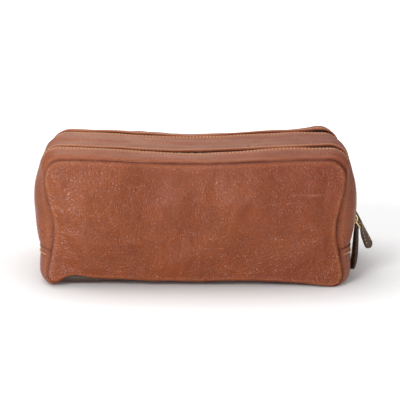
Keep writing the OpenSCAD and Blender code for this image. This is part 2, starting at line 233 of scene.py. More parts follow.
class PebbledLeather(Finish):
    """Soft full-grain leather: pebble grain, cloudy tan colour and light handling marks, with painted shade to the
    right and in the seams, and a painted highlight on worn ridges.
    """

    name = "tan_leather"
    # Painted light and shade: lighter tan on the left, where the key light falls, darker tan to the right
    lit_left_tan = (0.325, 0.066, 0.007)
    shaded_right_tan = (0.246, 0.037, 0.004)
    cloud = (0.385, 0.092, 0.016)
    blotch = (0.175, 0.028, 0.007)
    speckle = (0.110, 0.019, 0.006)
    # Worn colour for raised ridges; there it also stands in as a painted highlight
    worn = (0.520, 0.165, 0.055)
    # Painted shade colour for seam valleys, lip undersides, needle holes and the band's folded ends
    painted_shade = (0.045, 0.010, 0.005)
    scratch = (0.600, 0.250, 0.125)
    pit = (0.160, 0.034, 0.015)
    crease_mm = 0.5
    grain_mm = 0.62
    ior = 1.47

    def paint(self) -> None:
        """Fill in colour, gloss and relief."""
        here = self.place()
        middle = self.clouds(here, 55.0, 4.0, 0.6, 0.8)
        fine = self.clouds(here, 420.0, 3.0, 0.6)
        shade = self.attribute("shade")
        scuffs, pebble = self.scuffs(here), self.pebble(here)
        # Painted shade: the tan darkens from the left side to the right
        shade_to_right = (self.axis(here, "X") * 3.4 + 0.5).clamped()
        broad = self.clouds(here, 14.0, 3.0, 0.55, 0.6)
        layers = ((self.ramp(broad, (0.34, 0.0), (0.66, 0.42)), self.cloud),
                  (self.ramp(middle, (0.42, 0.0), (0.70, 0.28)), self.blotch),
                  (self.ramp(fine, (0.40, 0.22), (0.62, 0.0)), self.speckle),
                  # Wear and a painted highlight on raised ridges
                  (self.attribute("rub") * 0.40, self.worn),
                  # Painted shade in the seam valleys and other recesses
                  (shade * 0.72, self.painted_shade),
                  (scuffs * 0.34, self.scratch),
                  (self.ramp(pebble, (0.0, 0.45), (0.28, 0.0)), self.pit))
        colour = self.blend(shade_to_right, self.lit_left_tan, self.shaded_right_tan)
        for share, layer in layers:
            colour = self.blend(share, colour, layer)
        gloss = 0.23 + self.ramp(middle, (0.3, 0.0), (0.7, 1.0)) * 0.12 + fine * 0.06 + shade * 0.5
        grain = pebble * self.ramp(self.clouds(here, 26.0, 2.0), (0.35, 0.55), (0.62, 1.0))
        under = self.bump(self.creases(), self.crease_mm, 0.5)
        normal = self.bump(grain + fine * 0.10 - scuffs * 0.25, self.grain_mm, 0.95, under)
        self.set(Base_Color=colour, Roughness=gloss, Normal=normal, IOR=self.ior,
                 Specular_IOR_Level=0.42)

    def pebble(self, here: Wire) -> Wire:
        """Return rounded grain cells of uneven size, 1 on top and 0 in the creases."""
        loose = self.warped(here, 300.0, 0.0011)
        domes = self.ramp(self.cells(loose, 430.0), (0.0, 0.0), (0.10, 0.55), (0.30, 1.0))
        specks = self.ramp(self.cells(loose, 900.0), (0.0, 0.0), (0.22, 1.0))
        return domes * 0.75 + specks * 0.25

    def creases(self) -> Wire:
        """Return long soft creases that run unevenly over the hide."""
        drawn = self.place((1.0, 1.0, 2.2), (0.0, 0.5, 0.0))
        folds = self.clouds(self.warped(drawn, 30.0, 0.02), 62.0, 5.0, 0.62, 0.9)
        return self.ramp(folds, (0.25, 0.0), (0.5, 0.8), (0.75, 1.0))

    def scuffs(self, here: Wire) -> Wire:
        """Return thin pale scratches, few and short, in three directions."""
        scratches = None
        for turn, lift in ((0.5, 0.0), (-0.9, 3.1), (1.9, 7.7)):
            drawn = self.place((9.0, 9.0, 260.0), (0.0, turn, 0.2 * turn), (lift, lift, 0.0))
            streak = self.clouds(self.warped(drawn, 1.2, 0.9), 1.0, 2.0)
            thin = self.ramp(streak, (0.685, 0.0), (0.71, 1.0), (0.74, 0.0))
            patch = self.clouds(here, 30.0 + lift, 1.0)
            line = thin * self.ramp(patch, (0.52, 0.0), (0.66, 1.0))
            scratches = line if scratches is None else scratches.larger(line)
        return scratches

class DarkLeather(Finish):
    """Smooth dark-brown strap leather."""

    name = "dark_leather"
    dark = (0.030, 0.013, 0.008)
    light = (0.062, 0.028, 0.016)
    worn = (0.105, 0.052, 0.032)
    ior = 1.47

    def paint(self) -> None:
        """Fill in colour, gloss and relief."""
        here = self.place()
        mottle = self.clouds(here, 220.0, 3.0, 0.6)
        base = self.blend(self.ramp(mottle, (0.3, 0.0), (0.7, 1.0)), self.dark, self.light)
        face = self.blend(self.attribute("rub") * 0.6, base, self.worn)
        pores = self.cells(self.warped(here, 900.0, 0.0005), 1500.0)
        self.set(Base_Color=face, Roughness=0.42 + mottle * 0.12, IOR=self.ior,
                 Normal=self.bump(self.ramp(pores, (0.0, 0.0), (0.2, 1.0)), 0.10, 0.6))

@dataclass(frozen=True)
class Weave:
    """Colours and pitch of a woven cloth."""

    dark: Colour
    light: Colour
    pitch_mm: float
    lean: float = 0.0

class Woven(Finish):
    """A woven tape or cloth with crossing threads."""

    weave = Weave((0.040, 0.018, 0.010), (0.120, 0.060, 0.034), 0.55)

    def paint(self) -> None:
        """Fill in colour, roughness and relief of the threads."""
        here = self.place(turn=(0.0, self.weave.lean, 0.0))
        rate = 2.0 * math.pi / (self.weave.pitch_mm * MM)
        x, y, z = (self.axis(here, name) for name in "XYZ")
        warp = ((x + z) * rate).sine() * 0.5 + 0.5
        weft = (y * rate + z * (0.5 * rate)).sine() * 0.5 + 0.5
        threads = warp * weft
        fuzz = self.clouds(here, 1400.0, 2.0)
        share = (threads * 0.8 + fuzz * 0.3).clamped()
        self.set(Base_Color=self.blend(share, self.weave.dark, self.weave.light),
                 Roughness=0.88, Sheen_Weight=0.15, Sheen_Roughness=0.5,
                 Normal=self.bump(threads + fuzz * 0.2, 0.12, 0.7))

class ZipTape(Woven):
    """Ribbed dark-brown zip tape."""

    name = "zip_tape"

class LiningCloth(Woven):
    """Twill lining."""

    name = "lining_cloth"
    weave = Weave((0.060, 0.040, 0.028), (0.150, 0.105, 0.075), 0.8, 0.7)

class Brass(Finish):
    """Polished brass with a little handling haze."""

    name = "brass"
    bright = (0.830, 0.640, 0.320)
    dull = (0.560, 0.390, 0.170)

    def paint(self) -> None:
        """Fill in colour, gloss and fine scratches."""
        haze = self.clouds(self.place(), 260.0, 3.0, 0.6)
        scratch = self.clouds(self.place((1.0, 1.0, 8.0), (0.4, 0.3, 0.0)), 900.0, 2.0)
        base = self.blend(self.ramp(haze, (0.35, 0.0), (0.75, 0.6)), self.bright, self.dull)
        self.set(Base_Color=base, Metallic=1.0, Roughness=0.20 + haze * 0.14,
                 Normal=self.bump(scratch, 0.02, 0.4))

class Speckled(Finish):
    """A dull finish of two colours mixed by fine noise, which is also its relief."""

    dark: Colour
    light: Colour
    stretch = (1.0, 1.0, 1.0)
    grain = (2600.0, 2.0, 0.5)
    roughness = 0.62
    relief = (0.05, 0.6)

    def paint(self) -> None:
        """Fill in colour, roughness and relief."""
        fleck = self.clouds(self.place(self.stretch), *self.grain)
        self.set(Base_Color=self.blend(fleck, self.dark, self.light), Roughness=self.roughness,
                 Normal=self.bump(fleck, *self.relief))


class Thread(Speckled):
    """Twisted sewing thread, a little lighter than the leather."""

    name = "thread"
    dark = (0.520, 0.270, 0.130)
    light = (0.800, 0.520, 0.320)


class Stiffener(Speckled):
    """Dark pressed board with drawn-out fibres."""

    name = "stiffener"
    dark = (0.070, 0.060, 0.050)
    light = (0.160, 0.140, 0.120)
    stretch = (1.0, 3.0, 1.0)
    grain = (500.0, 4.0, 0.7)
    roughness = 0.85
    relief = (0.08, 0.5)


# ---------------------------------------------------------------- shape of the bag

Grid = np.ndarray

def mix(a: Grid | float, b: Grid | float, share: Grid | float) -> Grid | float:
    """Return a value between a and b."""
    return a * (1.0 - share) + b * share

@dataclass(frozen=True)
class Dent:
    """A soft push in the leather round one point of the bag, in millimetres."""

    at: Triple
    reach: Triple
    push: Triple

@dataclass(frozen=True)
class Arch:
    """The top of a half profile: its flat reach, height, corner radius and angle, and sag."""

    reach: float
    top: float
    radius: float
    end_angle: float
    sag: float

@dataclass
class BagSkin:
    """The outer surface of the stuffed bag, by place along the zip line and by depth.

    q runs round the bag in its XZ plane: -1 at the left side seam, 0 at the top centre,
    1 at the right side seam and 2 at the bottom centre. v is -1 at the front seam and 1 at
    the back seam. n is a depth below the surface. Lengths are in millimetres.
    """

    half_w: float = 130.5
    height: float = 110.0
    half_d: float = 60.0
    seam_inset: float = 11.0
    seam_waist: float = 6.5
    waist_z: float = 48.0
    waist_span: float = 42.0
    end_swell: float = 2.5
    top_sag: float = 4.5
    side_seam_z: float = 30.0
    zip_y: float = 31.0
    slot_w: float = 12.0
    leather: float = 2.0
    side_r: float = 113.0
    bulge_z: float = 62.0
    corner_r: float = 16.0
    foot_r: float = 11.0
    foot_swell: float = 1.6
    seam_drop: float = 4.5
    seam_sag: float = 0.7
    seam_corner_r: float = 15.0
    seam_foot_r: float = 9.0
    seam_floor: float = 2.5
    foot_s: float = 0.86
    heel_s: float = 0.94
    flat_past_lip: float = 2.0
    fullness: float = 2.2
    lip_close: float = 2.3
    lip_reach: float = 5.0
    open_from: float = 0.52
    fold_depth: float = 1.3
    fold_pitch: float = 9.0
    dents: list[Dent] = field(default_factory=list)

    def __post_init__(self) -> None:
        """Work out the angles and lengths that the profiles share."""
        self.band_half = self.half_d - self.leather - 0.2
        self.seam_w = self.half_w - self.seam_inset
        self.slot_y = self.zip_y - self.slot_w / 2
        self.lip_y = self.zip_y + self.slot_w / 2
        self.full_v = (self.lip_y + self.flat_past_lip) / self.band_half
        self.side_cx = self.half_w - self.side_r
        inner = self.side_r - self.corner_r
        self.top_angle = math.asin((self.height - self.corner_r - self.bulge_z) / inner)
        self.low_angle = math.asin((self.side_seam_z - self.bulge_z) / self.side_r)
        corner_cx = self.side_cx + inner * math.cos(self.top_angle)
        self.side_low_x = self.side_cx + self.side_r * math.cos(self.low_angle)
        corner_len = self.corner_r * (math.pi / 2 - self.top_angle)
        side_len = self.side_r * (self.top_angle - self.low_angle)
        self.run_len = corner_cx + corner_len + side_len
        self.s_top = corner_cx / self.run_len
        self.s_corner = (corner_cx + corner_len) / self.run_len
        self.zip_arch = Arch(corner_cx, self.height, self.corner_r, self.top_angle, self.top_sag)
        self.seam_arch = Arch(self.seam_w - self.seam_corner_r, self.height - self.seam_drop,
                              self.seam_corner_r, 0.0, self.top_sag * self.seam_sag)

    def _waist(self, z: Grid) -> Grid:
        """Return how far a panel seam is drawn in at height z."""
        share = np.clip(np.abs(z - self.waist_z) / self.waist_span, 0.0, 1.0)
        return self.seam_waist * np.cos(np.pi / 2 * share) ** 2

    def _top(self, s: Grid, n: Grid, arch: Arch, side: tuple[Grid, Grid]) -> tuple[Grid, Grid]:
        """Return x and z of an upper profile: the sagging top, the corner and the side.

        Args:
            s: Places from the top centre (0) to the side seam (1).
            n: Depths below the surface.
            arch: Sizes of the top and its corner.
            side: x and z of the side below the corner.

        Returns:
            x and z at each place.
        """
        flat_x = arch.reach * s / self.s_top
        sag = arch.sag * (1.0 + np.cos(np.pi * flat_x / arch.reach)) / 2.0
        turn = mix(np.pi / 2, arch.end_angle, (s - self.s_top) / (self.s_corner - self.s_top))
        radius = arch.radius - n
        parts = [s <= self.s_top, s <= self.s_corner]
        x = np.select(parts, [flat_x, arch.reach + radius * np.cos(turn)], side[0])
        z = np.select(parts, [arch.top - n - sag, arch.top - arch.radius + radius * np.sin(turn)],
                      side[1])
        return x, z

    def _base(self, s: Grid, n: Grid, floor: float, radius: float,
              side_x: Callable[[Grid], Grid]) -> tuple[Grid, Grid]:
        """Return x and z of a lower profile: the flat base, the foot curve and the side.

        Args:
            s: Places from the bottom centre (0) to the side seam (1).
            n: Depths below the surface.
            floor: Height of the flat base.
            radius: Radius of the foot curve.
            side_x: Gives x of the side from the foot (0) to the side seam (1).

        Returns:
            x and z at each place.
        """
        cx, cz = side_x(0.0) - radius, floor + radius
        turn = np.pi / 2 * ((s - self.foot_s) / (self.heel_s - self.foot_s) - 1.0)
        up = (s - self.heel_s) / (1 - self.heel_s)
        parts = [s <= self.foot_s, s <= self.heel_s]
        x = np.select(parts, [cx * s / self.foot_s, cx + (radius - n) * np.cos(turn)],
                      side_x(up) - n)
        z = np.select(parts, [floor + n + 0.0 * s, cz + (radius - n) * np.sin(turn)],
                      mix(cz, self.side_seam_z, up))
        return x, z

    def _zip_profile(self, s: Grid, n: Grid, low: Grid) -> tuple[Grid, Grid]:
        """Return x and z of the profile through the zips, the lower half where low is true."""
        down = (s - self.s_corner) / (1 - self.s_corner)
        bend, radius = mix(self.top_angle, self.low_angle, down), self.side_r - n
        side = (self.side_cx + radius * np.cos(bend), self.bulge_z + radius * np.sin(bend))
        upper = self._top(s, n, self.zip_arch, side)
        lower = self._base(s, n, 0.0, self.foot_r, lambda up: (
            self.side_low_x + self.foot_swell * np.cos(np.pi / 2 * up)))
        return np.where(low, lower[0], upper[0]), np.where(low, lower[1], upper[1])

    def _seam_profile(self, s: Grid, n: Grid, low: Grid) -> tuple[Grid, Grid]:
        """Return x and z of the profile along a panel seam, the lower half where low is true."""
        down = (s - self.s_corner) / (1 - self.s_corner)
        side_z = mix(self.seam_arch.top - self.seam_arch.radius, self.side_seam_z, down)
        side = (self.seam_w - n - self._waist(side_z), side_z)
        upper = self._top(s, n, self.seam_arch, side)
        foot_z = self.seam_floor + self.seam_foot_r
        lower = self._base(s, n, self.seam_floor, self.seam_foot_r, lambda up: (
            self.seam_w - self._waist(mix(foot_z, self.side_seam_z, up))))
        return np.where(low, lower[0], upper[0]), np.where(low, lower[1], upper[1])

    def stitch_rows(self) -> tuple[float, ...]:
        """Return the depth places of the four stitch rows beside the zips."""
        lip, slot = self.lip_y + STITCH_INSET, self.slot_y - STITCH_INSET
        return -lip, -slot, slot, lip

    def point(self, q: Grid, v: Grid, n: Grid) -> Grid:
        """Return points of the surface in millimetres, shaped like the inputs plus an axis."""
        points = self.raw(q, v, n)
        points[..., 1] += self.closing(np.broadcast_to(q, points.shape[:-1]), points[..., 1])
        return self.pressed(points)

    def closing(self, q: Grid, y: Grid) -> Grid:
        """Return how far the lips of a zip draw together, except where its slider travels."""
        across = np.abs(y) - self.zip_y
        near = np.exp(-((np.abs(across) - self.slot_w / 2) / self.lip_reach) ** 2)
        along = q * self.run_len
        wander = 0.5 * np.sin(along / 23.0 + 1.3 * np.sign(y)) + 0.35 * np.sin(along / 9.5)
        shut = np.clip((self.open_from - q) / 0.08, 0.0, 1.0) * np.clip((q + 1.0) / 0.06, 0.0, 1.0)
        amount = (self.lip_close + wander) * shut * (np.abs(q) < 1.0)
        return -np.sign(y) * np.sign(across) * near * amount

    def raw(self, q: Grid, v: Grid, n: Grid) -> Grid:
        """Return points of the surface before the lips close and the dents move them."""
        q, v, n = np.broadcast_arrays(np.asarray(q, float), np.asarray(v, float),
                                      np.asarray(n, float))
        q = (q + 1.0) % 4.0 - 1.0
        low = q > 1.0
        side = np.where(low, np.sign(2.0 - q), np.sign(q))
        s = np.where(low, np.abs(2.0 - q), np.abs(q))
        s = np.where(low, 1.0 - np.abs(1.0 - s), s)
        depth = np.clip((np.abs(v) - self.full_v) / (1.0 - self.full_v), 0.0, 1.2)
        full = 1.0 - depth ** self.fullness
        x, z = (mix(seam, middle, full) for seam, middle
                in zip(self._seam_profile(s, n, low), self._zip_profile(s, n, low)))
        between = np.clip(1 - (v * self.band_half / self.slot_y) ** 2, 0, 1)
        swell = 1.0 + self.end_swell / self.half_w * between
        return np.stack([side * x * swell, v * self.band_half, z], axis=-1)

    def relief(self, q: Grid, y: Grid) -> Grid:
        """Return the extra depth of the soft ripples at a place and a depth in millimetres."""
        places = self.raw(q, y / self.band_half, 0.0)
        seam = np.exp(-((np.abs(y) - self.band_half) / 5.0) ** 2)
        fine = ripple(places, 9.0, 4.0) * (0.12 + 0.55 * seam)
        drawn = places * np.array([0.12, 1.0, 0.35])
        folds = ripple(drawn, self.fold_pitch, 21.0) * (np.abs(q) < 1.0) * (1.0 - 0.5 * seam)
        return fine + folds * self.fold_depth + ripple(places, 26.0, 9.0) * 0.45

    def pressed(self, points: Grid) -> Grid:
        """Return points after the dents have moved them, kept on the table."""
        moved = points.copy()
        for dent in self.dents:
            away = (points - np.array(dent.at)) / np.array(dent.reach)
            share = np.exp(-np.sum(away ** 2, axis=-1))
            moved = moved + share[..., None] * np.array(dent.push)
        moved[..., 2] = np.maximum(moved[..., 2], np.minimum(points[..., 2], 0.05))
        return moved

def ripple(places: Grid, pitch: float, seed: float) -> Grid:
    """Return smooth noise from -1 to 1 at points in millimetres."""
    flat = np.asarray(places, float).reshape(-1, 3) / pitch
    shift = Vector((seed, seed * 1.7, seed * 2.3))
    levels = [noise.noise(Vector(p) + shift) for p in flat]
    return np.array(levels).reshape(np.asarray(places).shape[:-1])

# Where the stuffed bag has settled out of true
DENTS = [
    Dent((-99.0, -60.0, 2.0), (16.0, 14.0, 14.0), (0.0, 0.0, 6.0)),
    Dent((-70.0, -60.0, 2.0), (22.0, 14.0, 12.0), (0.0, 0.0, 3.2)),
    Dent((-30.0, -60.0, 2.0), (40.0, 14.0, 12.0), (0.0, 0.0, 2.0)),
    Dent((40.0, -60.0, 2.0), (34.0, 14.0, 12.0), (0.0, 0.0, 2.2)),
    Dent((-116.0, -60.0, 2.0), (9.0, 20.0, 14.0), (0.0, -2.0, -2.4)),
    Dent((113.0, -60.0, 2.0), (20.0, 20.0, 14.0), (0.0, -1.5, -2.4)),
    Dent((110.0, 52.0, 106.0), (14.0, 14.0, 10.0), (0.0, 0.0, 3.0)),
    Dent((-58.0, -60.0, 58.0), (38.0, 30.0, 32.0), (0.0, -4.2, 0.0)),
    Dent((55.0, -60.0, 40.0), (50.0, 30.0, 26.0), (0.0, 1.6, 0.0)),
]

# ---------------------------------------------------------------- mesh helpers

def link(name: str, data: bpy.types.ID) -> bpy.types.Object:
    """Make an object round its data and put it in the scene."""
    made = bpy.data.objects.new(name, data)
    bpy.context.scene.collection.objects.link(made)
    return made


def new_object(name: str, verts: Grid, faces: list[Sequence[int]]) -> bpy.types.Object:
    """Make a mesh object at the origin from points in millimetres.

    Args:
        name: The piece's name.
        verts: Points in millimetres, one row each.
        faces: Lists of point indices.

    Returns:
        The linked object, smooth shaded.
    """
    mesh = bpy.data.meshes.new(name)
    mesh.from_pydata([tuple(float(c) * MM for c in p) for p in verts], [], faces)
    mesh.update()
    for polygon in mesh.polygons:
        polygon.use_smooth = True
    return link(name, mesh)

def tidy_mesh(piece: bpy.types.Object, weld_mm: float = 0.02) -> None:
    """Merge doubled points and turn all faces outwards."""
    work = bmesh.new()
    work.from_mesh(piece.data)
    bmesh.ops.remove_doubles(work, verts=work.verts, dist=weld_mm * MM)
    bmesh.ops.recalc_face_normals(work, faces=work.faces)
    work.to_mesh(piece.data)
    work.free()

def store(piece: bpy.types.Object, name: str, levels: Grid) -> None:
    """Store one number per point on a mesh for its material."""
    layer = piece.data.attributes.new(name, "FLOAT", "POINT")
    layer.data.foreach_set("value", np.asarray(levels, np.float32).ravel())

def deselect() -> None:
    """Leave nothing selected, so that an operator acts on its own object only."""
    for other in bpy.context.selected_objects:
        other.select_set(False)

def apply_modifiers(piece: bpy.types.Object) -> None:
    """Apply every modifier of a piece in order."""
    deselect()
    piece.select_set(True)
    bpy.context.view_layer.objects.active = piece
    for modifier in list(piece.modifiers):
        bpy.ops.object.modifier_apply(modifier=modifier.name)

def read_points(piece: bpy.types.Object) -> Grid:
    """Return a mesh's points in millimetres."""
    flat = np.empty(len(piece.data.vertices) * 3, np.float32)
    piece.data.vertices.foreach_get("co", flat)
    return flat.reshape(-1, 3).astype(float) / MM

def move_points(piece: bpy.types.Object, points: Grid) -> None:
    """Move a mesh's points to places in millimetres."""
    piece.data.vertices.foreach_set("co", (points * MM).astype(np.float32).ravel())
    piece.data.update()

def finish_piece(piece: bpy.types.Object, finish: Finish, slot: str, body: str,
                 *nodes: str) -> bpy.types.Object:
    """Give a piece its material and body, and hide the CAD nodes that it stands for."""
    piece.data.materials.clear()
    piece.data.materials.append(finish.material)
    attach(piece, body)
    if nodes:
        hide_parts(*nodes)
    LOG.info("%s: %d faces on %s", piece.name, len(piece.data.polygons), body)
    return piece

def in_order(points: Grid, faces: Sequence[Sequence[int]]) -> tuple[Grid, list[tuple[int, ...]]]:
    """Sort points and faces by place, since a primitive's own order changes between runs."""
    order = np.lexsort(np.round(points, 5).T)
    rank = np.argsort(order)
    renamed = [[int(rank[i]) for i in face] for face in faces]
    firsts = [face.index(min(face)) for face in renamed]
    return points[order], sorted(tuple(face[k:] + face[:k]) for face, k in zip(renamed, firsts))


def loop_faces(rows: int, cols: int, ring: bool) -> list[tuple[int, int, int, int]]:
    """Return the quads of a lattice whose columns may close on themselves."""
    last = cols if ring else cols - 1
    return [(i * cols + j, i * cols + (j + 1) % cols,
             (i + 1) * cols + (j + 1) % cols, (i + 1) * cols + j)
            for i in range(rows - 1) for j in range(last)]

# ---------------------------------------------------------------- leather shell

class Edge(Enum):
    """How a long edge of a leather strip is finished."""

    SEAM = "seam"
    LIP = "lip"

# Sections across an edge as (distance in from the edge, depth below the skin), in millimetres
EDGE_SECTIONS: dict[Edge, tuple[tuple[float, float], ...]] = {
    Edge.SEAM: ((0.3, 2.6), (0.0, 2.0), (0.0, 1.4), (0.12, 0.9), (0.5, 0.42), (1.1, 0.12),
                (1.9, -0.06), (2.9, -0.10), (4.2, -0.03), (6.4, 0.0)),
    Edge.LIP: ((1.4, 1.9), (0.4, 1.7), (0.02, 1.05), (0.0, 0.25), (0.25, -0.35), (0.8, -0.66),
               (1.4, -0.60), (1.9, -0.25), (2.3, 0.02), (2.7, -0.16), (3.3, -0.30), (4.3, -0.12),
               (6.0, 0.0)),
}
# The same for the turned rim of a front or back panel
PANEL_INSET = 7.0
PANEL_EDGE = np.array(((1.6, 2.7), (1.2, 2.3), (0.75, 1.7), (0.55, 1.15), (0.7, 0.6), (1.2, 0.2),
                       (1.9, -0.02), (2.8, -0.10), (4.0, -0.03), (5.5, 0.0), (PANEL_INSET, 0.0)))
# The folded end of the base band as (distance in from the end, depth)
BAND_FOLD = np.array(((0.0, 1.0), (0.3, -0.55), (1.0, -1.05), (1.9, -0.95), (2.6, -0.45),
                      (3.2, -0.65), (4.5, 0.0)))
# Weights that hold a panel's rim while it settles, as (from, to, weight) inwards in millimetres
HELD_BANDS = ((0.0, 3.0, 1.0), (3.0, 6.0, 0.5))
CLOTH = {"quality": 6, "mass": 0.35, "tension_stiffness": 40.0, "compression_stiffness": 40.0,
         "shear_stiffness": 20.0, "bending_stiffness": 6.0, "shrink_min": -0.012,
         "vertex_group_mass": "held", "use_pressure": True, "uniform_pressure_force": 1.2}
CLOTH_FRAMES = 20
CLOTH_CAP = 6.0

def wear_highlight_and_shade(depth: Grid) -> tuple[Grid, Grid]:
    """Return the rub of a leather edge, which is wear with a painted highlight on its raised ridges, and its
    painted shade in the valleys, from its depth below the skin.
    """
    # The first value paints wear and a highlight on raised ridges, the second paints shade in deep valleys
    return np.clip(-depth / 0.14, 0.0, 1.0), np.clip((depth - 0.3) / 0.4, 0.0, 1.0)

@dataclass
class Section:
    """A closed section across a strip: depth places, depths below the skin and shading."""

    y: Grid
    n: Grid
    rub: Grid
    shade: Grid

    @classmethod
    def across(cls, low_y: float, high_y: float, low: Edge, high: Edge,
               fill_mm: float = 2.6) -> "Section":
        """Join two edge sections with an even middle and an underside.

        Args:
            low_y: The strip's edge nearer the front, in millimetres.
            high_y: Its edge nearer the back.
            low: Finish of the edge nearer the front.
            high: Finish of the edge nearer the back.
            fill_mm: Spacing of the middle points.

        Returns:
            The closed section.
        """
        first = [(low_y + d, n) for d, n in EDGE_SECTIONS[low]]
        last = [(high_y - d, n) for d, n in EDGE_SECTIONS[high]][::-1]
        count = max(int((last[0][0] - first[-1][0]) / fill_mm), 2)
        middle = [(mix(first[-1][0], last[0][0], i / count), 0.0) for i in range(1, count)]
        outer = first + middle + last
        under = [(high_y - 4.0, 2.0), (mix(low_y, high_y, 0.5), 2.0), (low_y + 4.0, 2.0)]
        points = np.array(outer + under)
        rub, shade = wear_highlight_and_shade(points[:, 1])
        return cls(points[:, 0], points[:, 1], rub, shade)

@dataclass
class LeatherShell:
    """The six leather pieces of the bag."""

    skin: BagSkin
    finish: Finish
    puff: float = 4.0
    across_count: int = 150
    up_count: int = 66
    around_step: float = 0.72
    dimple: float = 0.16
    lap: float = 0.010
    wall: float = 1.5

    def build(self) -> None:
        """Make, dress and place every leather piece."""
        half, slot, lip = self.skin.band_half, self.skin.slot_y, self.skin.lip_y
        self.strip("front_zip_strip", Section.across(-half, -lip, Edge.SEAM, Edge.LIP))
        self.strip("centre_strip", Section.across(-slot, slot, Edge.LIP, Edge.LIP))
        self.strip("back_zip_strip", Section.across(lip, half, Edge.LIP, Edge.SEAM))
        self.base()
        self.panel("front_panel", -1)
        self.panel("back_panel", 1)

    def stations(self, start: float, end: float) -> Grid:
        """Return evenly spaced places along the zip line."""
        count = int((end - start) * self.skin.run_len / self.around_step)
        return np.linspace(start, end, count)

    def loft(self, name: str, q: Grid, section: Section, lift: Grid | None = None,
             painted_shade_ends: float = 0.0) -> bpy.types.Object:
        """Run a closed section along the bag and cap its ends.

        Args:
            name: The piece's name.
            q: Places along the zip line.
            section: The section to run.
            lift: Extra depth for each place and section point.
            painted_shade_ends: Reach of the shading at the ends, in millimetres.

        Returns:
            The lofted piece.
        """
        rows, cols = len(q), len(section.y)
        depth = np.broadcast_to(section.n, (rows, cols)).copy()
        if lift is not None:
            depth = depth + lift
        v = section.y / self.skin.band_half
        points = self.skin.point(q[:, None], v[None, :], depth)
        faces = loop_faces(rows, cols, True)
        faces += [tuple(range(cols)), tuple(range((rows - 1) * cols, rows * cols))[::-1]]
        piece = new_object(name + "_leather", points.reshape(-1, 3), faces)
        store(piece, "rub", np.broadcast_to(section.rub, (rows, cols)))
        # Painted shade in the seam valleys, under the lip edges and in the needle holes
        shade = np.maximum(section.shade, self.holes(q, section))
        # Painted shade along the band's folded ends
        if painted_shade_ends > 0.0:
            along = np.minimum(q - q[0], q[-1] - q) * self.skin.run_len
            shade = np.maximum(shade, np.exp(-(along[:, None] / painted_shade_ends) ** 4))
        store(piece, "shade", shade)
        tidy_mesh(piece, 0.001)
        return piece

    def holes(self, q: Grid, section: Section) -> Grid:
        """Return painted shade for the needle holes between the stitches along the zip lips."""
        along = q[:, None] * self.skin.run_len / STITCH_PITCH
        between = np.clip(np.cos(2 * np.pi * along), 0.0, 1.0) ** 2
        across = np.abs(np.abs(section.y) - self.skin.zip_y)
        row = across - self.skin.slot_w / 2 - STITCH_INSET
        near = np.exp(-(row / 0.9) ** 2) * (section.n < 1.0)
        return near[None, :] * between * (np.abs(q[:, None]) < 0.98)

    def puckers(self, q: Grid, section: Section) -> Grid:
        """Return small dimples where each stitch pulls the lips down, and soft seam ripples."""
        along = q[:, None] * self.skin.run_len
        pulled = 0.5 - 0.5 * np.cos(2 * np.pi * along / STITCH_PITCH)
        depth = self.skin.relief(q[:, None], section.y[None, :])
        for row_y in self.skin.stitch_rows():
            near = np.exp(-((section.y - row_y) / 0.7) ** 2) * (section.n < 1.0)
            depth += self.dimple * near[None, :] * pulled
        return depth

    def strip(self, node: str, section: Section) -> None:
        """Make one of the strips that run over the top."""
        q = self.stations(-1.0, 1.0)
        piece = self.loft(node, q, section, self.puckers(q, section))
        finish_piece(piece, self.finish, "tan_leather", "bag", node)

    def base(self) -> None:
        """Make the base band, whose folded ends lap over the strips at the side seams."""
        half = self.skin.band_half
        section = Section.across(-half, half, Edge.SEAM, Edge.SEAM, 2.4)
        q = self.stations(1.0 - self.lap, 3.0 + self.lap)
        along = np.minimum(q - q[0], q[-1] - q) * self.skin.run_len
        fold = np.interp(along, BAND_FOLD[:, 0], BAND_FOLD[:, 1])
        lift = self.puckers(q, section) + fold[:, None] * (section.n < 1.4)[None, :]
        piece = self.loft("base_band", q, section, lift, 1.0)
        finish_piece(piece, self.finish, "tan_leather", "bag", "base_band")

    def outline(self, q: Grid, inset: Grid | float) -> Grid:
        """Return x and z of a panel's outline at places q, some way in from the seam."""
        return self.skin.raw(q, -1.0, inset)[..., [0, 2]]

    def side_run(self, start: float, end: float, count: int) -> Grid:
        """Return q values of evenly spaced outline places from one q to another."""
        dense = np.linspace(start, end, 600)
        steps = np.linalg.norm(np.diff(self.outline(dense, PANEL_INSET), axis=0), axis=1)
        length = np.concatenate([[0.0], np.cumsum(steps)])
        return np.interp(np.linspace(0.0, length[-1], count + 1), length, dense)

    def panel_sides(self) -> tuple[Grid, ...]:
        """Return q values along the top, right, bottom and left of a panel."""
        corner = (self.skin.s_top + self.skin.s_corner) / 2
        heel = 2.0 - (self.skin.foot_s + self.skin.heel_s) / 2
        return (self.side_run(-corner, corner, self.across_count),
                self.side_run(corner, heel, self.up_count),
                self.side_run(heel, 4.0 - heel, self.across_count),
                self.side_run(4.0 - heel, 4.0 - corner, self.up_count))

    def panel_grid(self, sides: Sequence[Grid]) -> Grid:
        """Fill a panel's outline with a lattice of x and z blended from its four sides."""
        top, right, bottom, left = (self.outline(q, PANEL_INSET) for q in sides)
        right, bottom = right[::-1], bottom[::-1]
        s = np.linspace(0.0, 1.0, self.across_count + 1)[None, :, None]
        t = np.linspace(0.0, 1.0, self.up_count + 1)[:, None, None]
        return (mix(bottom[None, :, :], top[None, :, :], t)
                + mix(left[:, None, :], right[:, None, :], s)
                - mix(mix(bottom[0], bottom[-1], s), mix(top[0], top[-1], s), t))

